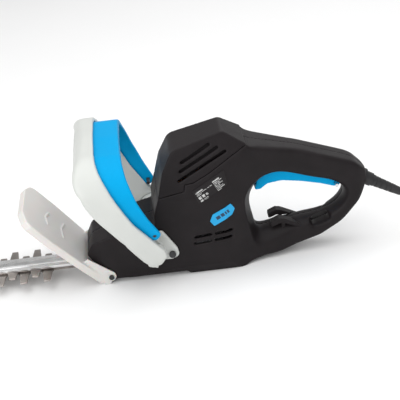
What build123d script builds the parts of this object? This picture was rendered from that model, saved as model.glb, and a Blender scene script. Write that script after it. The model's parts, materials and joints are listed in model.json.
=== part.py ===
"""Corded hedge trimmer, in millimetres.

+X points to the rear handle, -X to the blade tip, +Z up.  The flat underside is z = 0 and the motor
axis is x = y = 0.  The left side of the tool, seen by its user, is -Y.
"""
import math
import os

from build123d import *

os.makedirs("parts", exist_ok=True)

# ---------------------------------------------------------------- driving dimensions
BODY_HALF = 39.0                # half width of the body
GRIP_HALF = 18.5                # half width of the rear grip
BASE_Z = 4.5                    # underside in front of the foot
REAR_X = 204.5                  # rearmost point of the grip

PLATE_T = 2.0                   # thickness of one cutting blade
LOWER_Z = 13.0                  # underside of the lower blade
UPPER_Z = LOWER_Z + PLATE_T + 0.1
BAR_Z = UPPER_Z + PLATE_T + 0.1
BAR_T = 3.0
BAR_HALF = 13.0
TIP_X = -652.0
FIRST_TOOTH_X = -178.0
PITCH = 27.0
LONG_REACH = 36.0
SHORT_REACH = 27.0
TRAVEL = PITCH / 2              # how far each blade moves

MODULE = 0.9
GEAR_TEETH = 70
PINION_TEETH = 7
GEAR_X = -MODULE * (GEAR_TEETH + PINION_TEETH) / 2
GEAR_Z = 24.0
GEAR_T = 8.0
ECC_R = 11.5
ECC_OFFSET = TRAVEL / 2
SHAFT_R = 3.5

FRAME_Z = 36.0                  # gearbox frame plate
FRAME_T = 6.0
STACK_Z0 = 60.0                 # motor iron
STACK_Z1 = 100.0
STATOR_R = 28.0
ROTOR_R = 17.5
MOTOR_SHAFT_R = 4.0
BEARING_R = 11.0
BEARING_T = 7.0
TOP_BEARING_Z = 124.0

BOW_OUT = 87.0                  # half width of the blue bow
BOW_IN = 81.0
BOW_TOP = 169.5
SHELL_OUT = 94.0                # half width of the front handle shell
SHELL_IN = 77.5
BOW_PIVOT = (-48.5, 77.0)

TRIGGER_PIVOT = (168.5, 81.0)
CORD_D = 8.0
SLEEVE_START = (204.5, 0.0, 81.0)
SLEEVE_DROP = 30.0              # degrees that the sleeve points down
SLEEVE_LEN = 42.0
CORD_START = 36.0               # the free cord is modelled from here, inside the sleeve


# ---------------------------------------------------------------- small helpers
def box(x0, x1, y0, y1, z0, z1):
    return Pos((x0 + x1) / 2, (y0 + y1) / 2, (z0 + z1) / 2) * Box(x1 - x0, y1 - y0, z1 - z0)


def rod_z(x, y, z0, z1, r):
    return Pos(x, y, (z0 + z1) / 2) * Cylinder(r, z1 - z0)


def rod_y(x, z, y0, y1, r):
    return Pos(x, (y0 + y1) / 2, z) * Rot(90, 0, 0) * Cylinder(r, y1 - y0)


def rod_x(y, z, x0, x1, r):
    return Pos((x0 + x1) / 2, y, z) * Rot(0, 90, 0) * Cylinder(r, x1 - x0)


def polygon(points):
    return make_face(Polyline(*points, close=True))


def rounded(points, radii):
    """Closed outline whose corners are arcs; a radius of 0 keeps a corner sharp."""
    if not hasattr(radii, "__len__"):
        radii = [radii] * len(points)
    return make_face(FilletPolyline(*points, radius=list(radii), close=True))


def prism_xz(face, y0, y1):
    return extrude(Plane.XZ.offset(-y1) * face, amount=y1 - y0, dir=(0, -1, 0))


def prism_yz(face, x0, x1):
    return extrude(Plane.YZ.offset(x0) * face, amount=x1 - x0, dir=(1, 0, 0))


def prism_xy(face, z0, z1):
    return extrude(Plane.XY.offset(z0) * face, amount=z1 - z0, dir=(0, 0, 1))


def both_sides(shape):
    return shape + mirror(shape, about=Plane.XZ)


def mirrored_outline(half):
    """A symmetric outline from the points of its +Y half, listed from one end to the other."""
    return half + [(-a, b) for a, b in reversed(half)]


def save(name, *shapes):
    solids = [s for shape in shapes for s in shape.solids()]
    export_step(solids[0] if len(solids) == 1 else Compound(solids), f"parts/{name}.step")


# ---------------------------------------------------------------- housing envelope
SIDE_POINTS = [
    (-107.0, BASE_Z), (-15.5, BASE_Z), (-10.5, 0.0), (55.0, 0.0), (59.0, 3.0), (98.0, 5.5),
    (147.0, 20.0), (174.0, 36.0), (196.0, 62.0), (REAR_X, 82.0), (REAR_X, 96.0), (188.0, 111.5),
    (124.0, 135.0), (67.0, 149.5), (64.0, 154.0), (39.0, 170.0), (-20.0, 154.5), (-33.0, 130.0),
    (-41.0, 100.0), (-46.5, 84.0), (-47.0, 70.0), (-104.0, 58.5), (-121.0, 51.0), (-128.5, 37.0),
]
SIDE_RADII = [1.5, 2, 2, 2, 3, 30, 40, 40, 30, 8, 8, 40, 80, 1, 1, 8, 14, 20, 12, 8, 3, 12, 8, 3]
PLAN_HALF = [(-129.0, 28.0), (-112.0, 33.0), (-60.0, BODY_HALF - 1), (-20.0, BODY_HALF),
             (34.0, BODY_HALF), (78.0, 25.0), (118.0, GRIP_HALF), (192.0, GRIP_HALF), (207.0, 11.0)]
FRONT_HALF = [(34.0, -1.0), (BODY_HALF, 12.0), (BODY_HALF, 98.0), (29.5, 149.0), (21.0, 172.0)]
SEAM = [(-60.0, 99.8), (-10.0, 107.8), (-8.8, 115.6), (1.0, 116.4), (19.8, 125.4), (66.0, 154.2),
        (75.0, 158.0), (75.0, 200.0), (-60.0, 200.0)]
HOLE = [(66.5, 79.0), (70.0, 88.0), (84.0, 102.0), (98.0, 105.5), (112.0, 103.0), (142.0, 93.0),
        (168.0, 83.5), (177.0, 74.0), (172.5, 60.0), (160.0, 50.5), (138.0, 45.0), (113.0, 41.5),
        (87.0, 37.0), (73.5, 36.5), (69.5, 48.0)]
RIDGE = [(57.5, 82.0), (61.0, 95.0), (79.0, 112.5), (98.0, 116.5), (116.0, 114.0), (146.0, 104.0),
         (174.0, 95.0), (187.0, 76.0), (181.0, 58.0), (166.0, 42.0), (142.0, 30.0), (115.0, 21.0),
         (86.0, 14.5), (70.5, 16.0), (63.0, 38.0)]


def plan_prism(inset):
    """Everything inside the housing's outline seen from above, less a wall."""
    half = [(y, x) for x, y in PLAN_HALF]
    outline = [(x, y - inset) for y, x in half] + [(x, inset - y) for y, x in reversed(half)]
    return prism_xy(polygon(outline), -5, 200)


def front_prism(inset):
    """Everything inside the housing's outline seen from the front, less a wall."""
    half = [(y - inset, z) for y, z in FRONT_HALF]
    return prism_yz(polygon(mirrored_outline(half)), -140, 220)


def above_seam(drop):
    return prism_xz(polygon([(x, z - drop) for x, z in SEAM]), -60, 60)


def envelope():
    side = prism_xz(rounded(SIDE_POINTS, SIDE_RADII), -45, 45)
    return side & plan_prism(0) & front_prism(0)


def hand_hole():
    """The hole in the rear handle: straight through, with a wide sloped border on each side."""
    hole = make_face(Spline(*HOLE, periodic=True))
    ridge = make_face(Spline(*RIDGE, periodic=True))
    through = prism_xz(hole, -50, 50)
    inner = Plane.XZ.offset(8) * hole
    outer = Plane.XZ.offset(32) * ridge
    slope = loft([inner, outer], ruled=True)
    return through, both_sides(slope)


# ---------------------------------------------------------------- housing
def motor_chamber():
    points = [(-42.0, 46.0), (-42.5, 80.0), (-37.5, 99.0), (-37.5, 165.0), (50.0, 165.0), (50.0, 46.0)]
    return prism_xz(polygon(points), -50, 50) & plan_prism(4.5) & front_prism(4.5)


def gear_chamber():
    return box(-104, 34, -34.5, 34.5, 22.6, 46.2) & plan_prism(3.4)


def blade_tunnel():
    return box(-140, 6, -27, 27, BASE_Z + 3.1, 22.8)


def grip_chamber():
    points = [(48.0, 112.0), (62.0, 108.0), (74.0, 117.0), (90.0, 119.5), (104.0, 111.0), (150.0, 102.5),
              (170.0, 96.0), (186.0, 76.0), (195.0, 78.0), (198.0, 94.0), (186.0, 107.0), (122.0, 129.8),
              (78.0, 141.5), (48.0, 141.5)]
    trigger_slot = [(68.5, 78.0), (71.5, 93.0), (80.0, 121.0), (100.0, 122.0), (150.0, 105.0),
                    (176.0, 92.0), (176.0, 77.0), (168.0, 74.0), (120.0, 84.0)]
    return prism_xz(polygon(points), -11, 11) + prism_xz(polygon(trigger_slot), -7.2, 7.2)


def lower_bar_chamber():
    points = [(50.0, 8.0), (84.0, 8.0), (98.0, 13.0), (98.0, 31.0), (66.0, 28.0), (62.0, 34.0), (50.0, 34.0)]
    return prism_xz(polygon(points), -15, 15)


def wall_slots():
    """Four air slots low on each side, in two rows of two."""
    slots = Part()
    for row, z in enumerate((41.0, 49.0)):
        for x in (6.0 + row, 30.0 + row):
            slot = Pos(x, 0, z + x * 0.08) * Rot(0, -5, 0) * Box(21, 20, 3.2)
            slots += Pos(0, 36, 0) * slot
    return both_sides(slots)


def cord_slot():
    """The slot in the lower grip bar that a loop of the extension lead goes through."""
    outline = Pos(147.0, 40.4) * Rot(0, 0, 17) * RectangleRounded(23, 9.2, 3)
    return prism_xz(outline, -30, 30)


def cable_hooks():
    """Angular hook on each side of the lower grip bar, which holds the looped lead."""
    tongue = [(88.5, 38.0), (88.5, 44.5), (98.0, 48.5), (104.0, 47.5), (124.0, 37.5), (124.0, 33.0),
              (106.0, 41.0), (99.0, 42.0)]
    stem = [(101.0, 40.0), (105.5, 40.0), (107.0, 22.0), (101.0, 22.0)]
    hook = prism_xz(rounded(tongue, 1.2), -17.0, -6.0) + prism_xz(polygon(stem), -14.0, -6.0)
    through, slope = hand_hole()
    hook = hook - (envelope() - slope - through)
    return [s for s in both_sides(hook).solids() if s.volume > 50]


SCREW_SPOTS = [(-118.0, 44.0), (44.5, 22.0), (58.0, 126.0), (186.0, 63.0), (128.0, 24.0)]
LUG_HOLE = (-30.5, 34.0)
GUARD_HOLE = (-103.5, 9.2)


def housing_screw_holes():
    holes = Part()
    for x, z in SCREW_SPOTS:
        depth = min(BODY_HALF, interior_half(x)) - 6
        holes += rod_y(x, z, -depth, 50, 1.9)
        holes += rod_y(x, z, depth, 50, 3.6)
    return holes


def interior_half(x):
    """Half width of the outline seen from above, at x."""
    for (x0, y0), (x1, y1) in zip(PLAN_HALF, PLAN_HALF[1:]):
        if x0 <= x <= x1:
            return y0 + (y1 - y0) * (x - x0) / (x1 - x0)
    return GRIP_HALF


def housing_screws():
    screws = []
    for x, z in SCREW_SPOTS:
        depth = min(BODY_HALF, interior_half(x)) - 6
        screw = rod_y(x, z, -depth + 1, depth + 0.05, 1.85)
        slot = box(x - 2.4, x + 2.4, depth + 1.6, depth + 3, z - 0.45, z + 0.45)
        head = rod_y(x, z, depth + 0.05, depth + 2.6, 3.4) - slot
        screws.append(screw + head)
    return screws


def base_plate_pocket():
    return box(-103.3, -15.7, -30.3, 30.3, -1, BASE_Z + 3.1)


def housing():
    shell = envelope() - above_seam(0.4)
    through, slope = hand_hole()
    shell = shell - slope - through
    for cavity in (motor_chamber(), gear_chamber(), blade_tunnel(), grip_chamber(), lower_bar_chamber(),
                   wall_slots(), cord_slot(), housing_screw_holes(), base_plate_pocket()):
        shell = shell - cavity
    gland = Pos(*SLEEVE_START) * Rot(0, SLEEVE_DROP, 0)
    shell = shell - gland * rod_x(0, 0, -13, 20, 8.05) - gland * rod_x(0, 0, -6.0, -2.0, 10.05)
    shell = shell - gland * rod_x(0, 0, -19, -12, CORD_D / 2 + 0.3)
    shell = shell - both_sides(rod_y(*LUG_HOLE, 30, 45, 2.0)) - both_sides(rod_y(*GUARD_HOLE, 28, 40, 1.7))
    shell = shell - rod_y(*TRIGGER_PIVOT, -13.5, 13.5, 2.03)
    return shell


# ---------------------------------------------------------------- cowl
def cowl():
    outer = envelope() & above_seam(0)
    inside = [(-37.5, 90.0), (-30.0, 129.5), (-17.5, 151.0), (38.0, 166.0), (58.0, 153.0), (58.0, 90.0)]
    hollow = prism_xz(rounded(inside, [1, 8, 6, 4, 2, 1]), -50, 50) & front_prism(3.2) & plan_prism(3.2)
    shell = outer - hollow
    for start, end in LOUVRES:
        length = math.dist(start, end)
        angle = math.degrees(math.atan2(end[1] - start[1], end[0] - start[0]))
        middle = Pos((start[0] + end[0]) / 2, (start[1] + end[1]) / 2)
        slot = middle * Rot(0, 0, angle) * SlotOverall(length, LOUVRE_WIDTH)
        shell = shell - both_sides(prism_xz(slot, -50, -20))
    return shell + louvre_baffle()


LOUVRES = [((-11.0, 140.0), (24.0, 158.0)), ((-13.5, 130.0), (33.0, 154.0)), ((-16.0, 119.5), (41.5, 149.0))]
LOUVRE_WIDTH = 3.4


def louvre_baffle():
    """Inner wall behind the louvres, on two ribs, that keeps water off the motor."""
    side = [(-24.0, 112.5), (49.0, 148.0), (49.0, 158.0), (36.0, 163.0), (-24.0, 141.0)]
    area = prism_xz(polygon(side), -45, 45)
    wall = (front_prism(7.0) - front_prism(8.4)) & area
    ribs = (front_prism(3.1) - front_prism(8.4)) & area & (box(-24, -22, -45, 45, 100, 170)
                                                          + box(47, 49, -45, 45, 100, 170))
    return (wall + ribs) & (box(-30, 60, -45, -12, 90, 170) + box(-30, 60, 12, 45, 90, 170))


# ---------------------------------------------------------------- front handle
def arch_face(half, top, foot_z=24.0):
    """Area under an arch that is upright above z = 110 and leans inwards below it."""
    lean = 30.0
    points = [(half - lean, foot_z), (half, 110.0), (half, top - 3.0), (0.0, top), (-half, top - 3.0),
              (-half, 110.0), (lean - half, foot_z)]
    shoulder = 0.95 * (top - 124.0)
    line = FilletPolyline(*points, radius=[60.0, shoulder, 200.0, shoulder, 60.0])
    return make_face(line + Line(points[-1], points[0]))


def arch_ring(out, out_top, inner, inner_top):
    ring = arch_face(out, out_top, 20.0) - arch_face(inner, inner_top, 10.0)
    return prism_yz(ring, -170, -20)


# the front handle seen from the side, each edge from the top down
PARTING = [(-109.0, 190.0), (-102.0, 163.0), (-87.0, 133.0), (-69.0, 98.5), (-48.0, 69.0), (-39.0, 57.0)]
BOW_REAR = [(-79.0, 190.0), (-76.0, 168.0), (-72.0, 150.0), (-63.5, 124.0), (-52.5, 99.0), (-41.0, 78.0)]
SHELL_FRONT = [(-110.5, 190.0), (-112.0, 176.5), (-124.0, 169.0), (-131.0, 156.0), (-127.5, 143.0),
               (-113.0, 116.0), (-72.0, 54.0)]


def edge_x(edge, z):
    """Where an edge is at a height."""
    for (x1, z1), (x0, z0) in zip(edge, edge[1:]):
        if z0 <= z <= z1:
            return x0 + (x1 - x0) * (z - z0) / (z1 - z0)
    return edge[-1][0]


def parting_x(z):
    """Where the blue bow meets the grey shell, seen from the side."""
    return edge_x(PARTING, z)


def shifted(edge, dx):
    return [(x + dx, z) for x, z in edge]


HIGH = PARTING[0][1]
SHELL_SIDE = SHELL_FRONT + [(-63.0, 41.5), (-55.0, 34.0), (-44.0, 35.5), (-37.0, 48.0)] + PARTING[::-1]
SHELL_RADII = [0, 8, 20, 16, 40, 60, 40, 20, 9, 8, 6, 0, 60, 60, 60, 60, 0]
LUG = [(-60.0, 32.0), (-44.0, 28.0), (-31.0, 26.5), (-22.0, 31.0), (-24.0, 41.0), (-40.0, 66.0),
       (-60.0, 56.0)]


def shell_prism():
    return prism_xz(rounded(SHELL_SIDE, SHELL_RADII), -120, 120)


def bow_channel():
    """Space in the shell that the bow's front edge moves in."""
    depth = 10.0
    side = shifted(PARTING[:-1], -depth) + [(PARTING[-2][0] - depth + 6, 62.0), (PARTING[-1][0] + 12, 62.0)]
    side = side + shifted(PARTING[-2::-1], 14.0)
    ring = arch_ring(BOW_OUT + 0.5, BOW_TOP + 0.5, BOW_IN - 1.0, BOW_TOP - 9.0)
    return ring & prism_xz(polygon(side), -120, 120)


def lug():
    """Ear that screws to the housing, joined to the near leg of the shell by a thick web."""
    relief = [(-48.0, 0.0), (-10.0, 0.0), (-10.0, 70.0), (-36.0, 70.0), (-48.0, 60.0)]
    web = prism_xz(rounded(LUG, 4), -64, -BODY_HALF - 0.1)
    return web - prism_xz(rounded(relief, 1.0), -70, -BODY_HALF - 4.6)


def front_handle_shell():
    ring = arch_ring(SHELL_OUT, BOW_TOP + 4.5, BOW_IN - 0.9, BOW_TOP - 8.9)
    shell = (ring & shell_prism()) - bow_channel()
    shell = shell + both_sides(lug())
    shell = shell - both_sides(rod_y(*LUG_HOLE, -50, -30, 2.2)) - both_sides(rod_y(*BOW_PIVOT, -90, -60, 2.0))
    shell = shell - both_sides(switch_pocket())
    for screw in shell_screw_places():
        shell = shell - screw(2.5, 9.0)
    return shell


def front_handle_liner():
    ring = arch_ring(BOW_IN - 1.0, BOW_TOP - 9.0, SHELL_IN - 1.0, BOW_TOP - 12.8)
    liner = (ring & shell_prism()) - both_sides(lug())
    return liner - both_sides(rod_y(*BOW_PIVOT, -90, -60, 2.0))


def shell_screw_places():
    """Cutters or screws along X, two on each leg, by radius and how far they stand out of the front."""
    places = []
    for z, y in ((138.0, 87.0), (73.0, 76.0)):
        for sign in (-1, 1):
            x = edge_x(SHELL_FRONT, z)
            places.append(lambda r, lead, x=x, y=sign * y, z=z: rod_x(y, z, x - lead, x + 10.0, r))
    return places


def bow():
    edge = 2.5
    front = shifted(PARTING[:-2], -edge) + [(parting_x(71.0) - edge, 71.0)]
    side = front + [(-45.5, 71.0)] + BOW_REAR[::-1]
    ring = arch_ring(BOW_OUT, BOW_TOP, BOW_IN, BOW_TOP - 6.0)
    radii = [0, 60, 60, 60, 2, 3, 4, 60, 60, 60, 60, 0]
    band = ring & prism_xz(rounded(side, radii), -120, 120)
    return band - both_sides(rod_y(*BOW_PIVOT, -95, -55, 2.05))


def bow_pins():
    inner, outer = 61.0, 74.6
    return [rod_y(*BOW_PIVOT, inner, outer, 2.0), rod_y(*BOW_PIVOT, -outer, -inner, 2.0)]


# the switch behind the bow sits in the near leg of the shell
FRONT_SWITCH_Z = 116.0


def switch_pocket():
    x1 = parting_x(FRONT_SWITCH_Z) - 4
    return box(x1 - 22.5, x1, -BOW_OUT - 0.2, -BOW_IN + 0.2, FRONT_SWITCH_Z - 8, FRONT_SWITCH_Z + 8)


def front_switch():
    x1 = parting_x(FRONT_SWITCH_Z) - 12
    body = box(x1 - 14, x1, -BOW_OUT + 0.1, -BOW_IN - 0.1, FRONT_SWITCH_Z - 7.5, FRONT_SWITCH_Z + 7.5)
    return body - rod_x(-(BOW_OUT + BOW_IN) / 2, FRONT_SWITCH_Z, x1 - 5, x1 + 1, 1.25)


def front_switch_plunger():
    x0 = parting_x(FRONT_SWITCH_Z) - 12
    return rod_x(-(BOW_OUT + BOW_IN) / 2, FRONT_SWITCH_Z, x0 - 3, x0 + 7.8, 1.2)


# ---------------------------------------------------------------- hand guard
GUARD_LOW = (-108.0, 4.0)
GUARD_TILT = math.degrees(math.atan2(100.0, 85.0))
GUARD_HALF = [(34.5, -3.0), (37.1, 12.0), (43.0, 45.0), (47.5, 85.0), (48.0, 116.0), (44.0, 124.0),
              (28.0, 131.0)]
NOSE_SIDE = 34.6                # inner face of the guard's straps


def guard_plane():
    """Plane of the guard's rear face: local x is across the tool, local y runs up the slope."""
    tilt = math.radians(GUARD_TILT)
    up = (-math.cos(tilt), 0, math.sin(tilt))
    across = (0, 1, 0)
    normal = Vector(*across).cross(Vector(*up))
    return Plane(origin=(GUARD_LOW[0], 0, GUARD_LOW[1]), x_dir=across, z_dir=tuple(normal))


def guard():
    """Sloped plate with a rim that points to the blade, ribs on the rear and straps round the nose."""
    plane = guard_plane()
    forward = plane.z_dir if plane.z_dir.X < 0 else -plane.z_dir
    outline = polygon(mirrored_outline([(y, s) for y, s in GUARD_HALF]))
    inner_half = [(y - 2.6, s - 2.6 if s > 0 else s + 2.6) for y, s in GUARD_HALF]
    inner = polygon(mirrored_outline(inner_half))
    plate = extrude(plane * outline, amount=3.0, dir=forward)
    rim = extrude(plane * (outline - inner), amount=9.0, dir=forward)
    body = plate + rim
    for s, reach in ((74.0, 17.0), (98.0, 14.0)):
        chevron = [(-reach, s - 5.2), (0, s - 1.0), (reach, s - 5.2), (reach, s - 3.4), (0, s + 0.8),
                   (-reach, s - 3.4)]
        body += extrude(plane * polygon(chevron), amount=1.4, dir=-forward)
    strap = prism_xz(polygon([(-111.0, 0.0), (-100.0, 4.6), (-97.5, 9.0), (-99.0, 14.0), (-128.0, 36.0),
                              (-134.0, 32.0)]), -NOSE_SIDE - 2.5, -NOSE_SIDE)
    lip = box(-112.0, -104.5, -NOSE_SIDE - 2.5, NOSE_SIDE + 2.5, 0.0, 2.6)
    body = body + both_sides(strap) + lip
    body = body - box(-170, -60, -50, 50, -20, 0)
    body = body - box(-150, -60, -15.5, 15.5, LOWER_Z - 3.2, BAR_Z + BAR_T + 2.6)
    return body - both_sides(rod_y(*GUARD_HOLE, -40, -30, 1.7))


# ---------------------------------------------------------------- blades and guide bar
def tooth(x, side, reach):
    """One tapered tooth; side is +1 or -1."""
    root = BAR_HALF - 2.0
    points = [(x - 8.0, side * root), (x - 5.6, side * (root + 5.0)), (x - 3.6, side * reach),
              (x + 3.6, side * reach), (x + 5.6, side * (root + 5.0)), (x + 8.0, side * root)]
    return polygon(points)


def bolt_xs():
    return [-140.0, -248.0, -356.0, -464.0, -572.0, -632.0]


def blade(z, long_side, centre_x, first_x):
    """A cutting blade, whose driven end is a frame round its eccentric."""
    window_x = TRAVEL + ECC_R + 0.5
    window_y = ECC_OFFSET + ECC_R + 0.6
    rim = 5.0
    strip = Rectangle(centre_x - window_x - TIP_X - 10, 2 * BAR_HALF - 3)
    outline = Pos((centre_x - window_x + TIP_X + 10) / 2, 0) * strip
    x = first_x
    while x > TIP_X + 16:
        outline += tooth(x, long_side, LONG_REACH)
        outline += tooth(x, -long_side, SHORT_REACH)
        x -= PITCH
    outline += Pos(centre_x, 0) * RectangleRounded(2 * (window_x + rim), 2 * (window_y + rim), 8)
    outline -= Pos(centre_x, 0) * RectangleRounded(2 * window_x, 2 * window_y, 5)
    for bolt in bolt_xs():
        outline -= Pos(bolt, 0) * SlotOverall(2 * TRAVEL + 8.0, 6.4)
    outline -= Pos(-86.0, 0) * SlotOverall(2 * TRAVEL + 26.0, 9.6)
    return prism_xy(outline, z, z + PLATE_T)


def guide_bar():
    length = -71.0 - TIP_X
    outline = Pos(TIP_X + length / 2, 0) * Rectangle(length, 2 * BAR_HALF)
    outline = fillet(outline.vertices().sort_by(Axis.X)[:2], 9.0)
    bar = prism_xy(outline, BAR_Z, BAR_Z + BAR_T)
    rail = box(TIP_X + 22, -112.0, -7.0, 7.0, BAR_Z + BAR_T, BAR_Z + BAR_T + 1.6)
    bar = bar + rail
    for x in bolt_xs():
        bar = bar - rod_z(x, 0, 0, 40, 3.05)
    for x in (-79.0, -93.0):
        bar = bar - rod_z(x, 0, 0, 40, 2.55)
    return bar - rod_z(TIP_X + 8.0, 0, 0, 40, 2.6)


def blade_bolts():
    """Guide bolts: a plain sleeve through both slots, with the head below and the nut above."""
    bolts, nuts = [], []
    top = BAR_Z + BAR_T + 1.6
    for x in bolt_xs():
        head = rod_z(x, 0, LOWER_Z - 2.6, LOWER_Z - 0.3, 5.2)
        bolts.append(head + rod_z(x, 0, LOWER_Z - 0.3, top + 3.4, 3.0))
        hexagon = Pos(x, 0) * RegularPolygon(4.6, 6)
        nut = prism_xy(hexagon, top, top + 3.0) - rod_z(x, 0, 0, 40, 3.0)
        nuts.append(nut)
    return bolts, nuts


def bar_screws():
    screws = []
    for x in (-79.0, -93.0):
        socket = prism_xy(Pos(x, 0) * RegularPolygon(2.2, 6), BAR_Z - 3.5, BAR_Z - 1.6)
        head = rod_z(x, 0, BAR_Z - 3.4, BAR_Z - 0.1, 4.3) - socket
        screws.append(head + rod_z(x, 0, BAR_Z - 0.1, 32.0, 2.5))
    return screws


# ---------------------------------------------------------------- gearbox
def gear_outline(teeth, add, ded, share, phase):
    """Straight-flanked teeth: share is each tooth's part of the pitch at the pitch circle."""
    pitch_r = MODULE * teeth / 2
    step = 2 * math.pi / teeth
    points = []
    for i in range(teeth):
        centre = phase + i * step
        for r, width in ((pitch_r - ded, share * 1.45), (pitch_r + add, share * 0.45)):
            points.append((r, centre - width * step / 2))
        for r, width in ((pitch_r + add, share * 0.45), (pitch_r - ded, share * 1.45)):
            points.append((r, centre + width * step / 2))
    return polygon([(r * math.cos(t), r * math.sin(t)) for r, t in points])


def drive_gear():
    """Large gear with a thin web; a tooth space faces the pinion."""
    phase = math.pi / GEAR_TEETH
    rim = prism_xy(gear_outline(GEAR_TEETH, 0.6, 1.0, 0.40, phase), GEAR_Z, GEAR_Z + GEAR_T)
    web = Pos(0, 0, GEAR_Z + GEAR_T) * Cylinder(27.0, 5.0) - Pos(0, 0, GEAR_Z + GEAR_T) * Cylinder(9.0, 5.0)
    gear = rim - web
    for i in range(6):
        angle = math.radians(60 * i)
        gear = gear - rod_z(18 * math.cos(angle), 18 * math.sin(angle), 20, 40, 4.5)
    return Pos(GEAR_X, 0, 0) * (gear - rod_z(0, 0, 0, 50, SHAFT_R + 1.5))


def double_eccentric():
    lower = rod_z(GEAR_X + ECC_OFFSET, 0, LOWER_Z - 0.4, LOWER_Z + PLATE_T, ECC_R)
    upper = rod_z(GEAR_X - ECC_OFFSET, 0, LOWER_Z + PLATE_T, UPPER_Z + PLATE_T, ECC_R)
    hub = rod_z(GEAR_X, 0, UPPER_Z + PLATE_T, GEAR_Z, 7.0)
    sleeve = rod_z(GEAR_X, 0, GEAR_Z, GEAR_Z + GEAR_T, SHAFT_R + 1.5)
    return lower + upper + hub + sleeve - rod_z(GEAR_X, 0, 0, 60, SHAFT_R)


def gear_bushes():
    low = rod_z(GEAR_X, 0, BASE_Z + 0.6, BASE_Z + 7.0, 6.5) - rod_z(GEAR_X, 0, 0, 60, SHAFT_R + 0.05)
    high = rod_z(GEAR_X, 0, FRAME_Z, FRAME_Z + FRAME_T, 6.5) - rod_z(GEAR_X, 0, 0, 60, SHAFT_R + 0.05)
    return low, high


def base_plate():
    plate = box(-103, -16, -30, 30, BASE_Z, BASE_Z + 3.0)
    boss = rod_z(GEAR_X, 0, BASE_Z + 3.0, BASE_Z + 7.0, 9.0)
    plate = plate + boss - rod_z(GEAR_X, 0, BASE_Z + 0.6, 40, 6.5)
    for x, y in BASE_SCREWS:
        plate = plate - rod_z(x, y, 0, 20, 2.1)
    return plate


BASE_SCREWS = [(-98.0, -28.4 + 4.0), (-98.0, 24.4), (-20.5, -24.4), (-20.5, 24.4)]


def base_screws():
    return [rod_z(x, y, BASE_Z - 1.8, BASE_Z, 3.4) + rod_z(x, y, BASE_Z, BASE_Z + 3.0, 2.0)
            for x, y in BASE_SCREWS]


def gearbox_frame():
    """Cast plate above the gear that carries the motor's lower bearing and the gear shaft."""
    outline = Pos(-35.0, 0) * RectangleRounded(132, 62, 10)
    plate = prism_xy(outline, FRAME_Z, FRAME_Z + FRAME_T)
    posts = Part()
    for x in (-79.0, -93.0):
        posts += rod_z(x, 0, BAR_Z + BAR_T, FRAME_Z, 5.4)
    ring = rod_z(0, 0, FRAME_Z - 1.5, FRAME_Z + FRAME_T + 1.5, BEARING_R + 3.0)
    frame = plate + posts + ring
    for x in (-79.0, -93.0):
        frame = frame - rod_z(x, 0, 0, 32.0, 2.5)
    frame = frame - rod_z(GEAR_X, 0, 0, 60, 6.5)
    frame = frame - rod_z(0, 0, FRAME_Z - 0.5, 60, BEARING_R) - rod_z(0, 0, 0, 60, 6.0)
    for x, y in ((20.0, -20.0), (20.0, 20.0), (-60.0, -24.0), (-60.0, 24.0)):
        frame = frame - rod_z(x, y, 0, 60, 2.2)
    return frame


def bearing(z):
    """Ball bearing as rings with its balls."""
    outer = rod_z(0, 0, z, z + BEARING_T, BEARING_R) - rod_z(0, 0, z, z + BEARING_T, BEARING_R - 2.0)
    inner = rod_z(0, 0, z, z + BEARING_T, MOTOR_SHAFT_R + 1.8) - rod_z(0, 0, z, z + BEARING_T, MOTOR_SHAFT_R)
    return outer, inner


def bearing_balls(z):
    centre_r = (BEARING_R - 2.0 + MOTOR_SHAFT_R + 1.8) / 2
    ball_r = (BEARING_R - 2.0 - MOTOR_SHAFT_R - 1.8) / 2 - 0.02
    return [Pos(centre_r * math.cos(a), centre_r * math.sin(a), z + BEARING_T / 2) * Sphere(ball_r)
            for a in (2 * math.pi * i / 8 for i in range(8))]


# ---------------------------------------------------------------- motor
def stator_core():
    core = rod_z(0, 0, STACK_Z0, STACK_Z1, STATOR_R) - rod_z(0, 0, 0, 200, ROTOR_R + 0.7)
    return core - both_sides(box(-11, 11, ROTOR_R - 1, 24.0, STACK_Z0 - 1, STACK_Z1 + 1))


def field_windings():
    """Two coils in the stator's slots, with end turns that arch over both ends of the iron."""
    coils = []
    for sign in (-1, 1):
        side = box(-10.8, 10.8, 19.2, 23.8, STACK_Z0 - 6, STACK_Z1 + 6)
        ends = Part()
        for z0, z1 in ((STACK_Z0 - 6, STACK_Z0 - 0.1), (STACK_Z1 + 0.1, STACK_Z1 + 6)):
            ring = rod_z(0, 0, z0, z1, 24.5) - rod_z(0, 0, z0 - 1, z1 + 1, 19.2)
            ends += ring & box(-22, 22, 6, 30, z0, z1)
        coil = side + ends
        coils.append(coil if sign > 0 else mirror(coil, about=Plane.XZ))
    return coils


def armature_core():
    core = rod_z(0, 0, STACK_Z0, STACK_Z1, ROTOR_R) - rod_z(0, 0, 0, 200, MOTOR_SHAFT_R)
    for i in range(12):
        slot = box(11.0, 16.4, -1.7, 1.7, STACK_Z0 - 1, STACK_Z1 + 1)
        mouth = box(16.0, 18.0, -0.7, 0.7, STACK_Z0 - 1, STACK_Z1 + 1)
        core = core - Rot(0, 0, 30 * i) * (slot + mouth)
    return core


def armature_windings():
    wire = Part()
    for z0, z1 in ((STACK_Z0 - 4, STACK_Z0), (STACK_Z1, STACK_Z1 + 5)):
        wire += rod_z(0, 0, z0, z1, 15.6) - rod_z(0, 0, z0 - 1, z1 + 1, MOTOR_SHAFT_R + 1.2)
    for i in range(12):
        wire += Rot(0, 0, 30 * i) * box(11.2, 15.4, -1.5, 1.5, STACK_Z0 - 0.1, STACK_Z1 + 0.1)
    return wire


def commutator():
    ring = rod_z(0, 0, 108, 120, 11.5) - rod_z(0, 0, 0, 200, MOTOR_SHAFT_R)
    for i in range(24):
        ring = ring - Rot(0, 0, 15 * i) * box(10.4, 12.0, -0.25, 0.25, 107, 121)
    return ring


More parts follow.
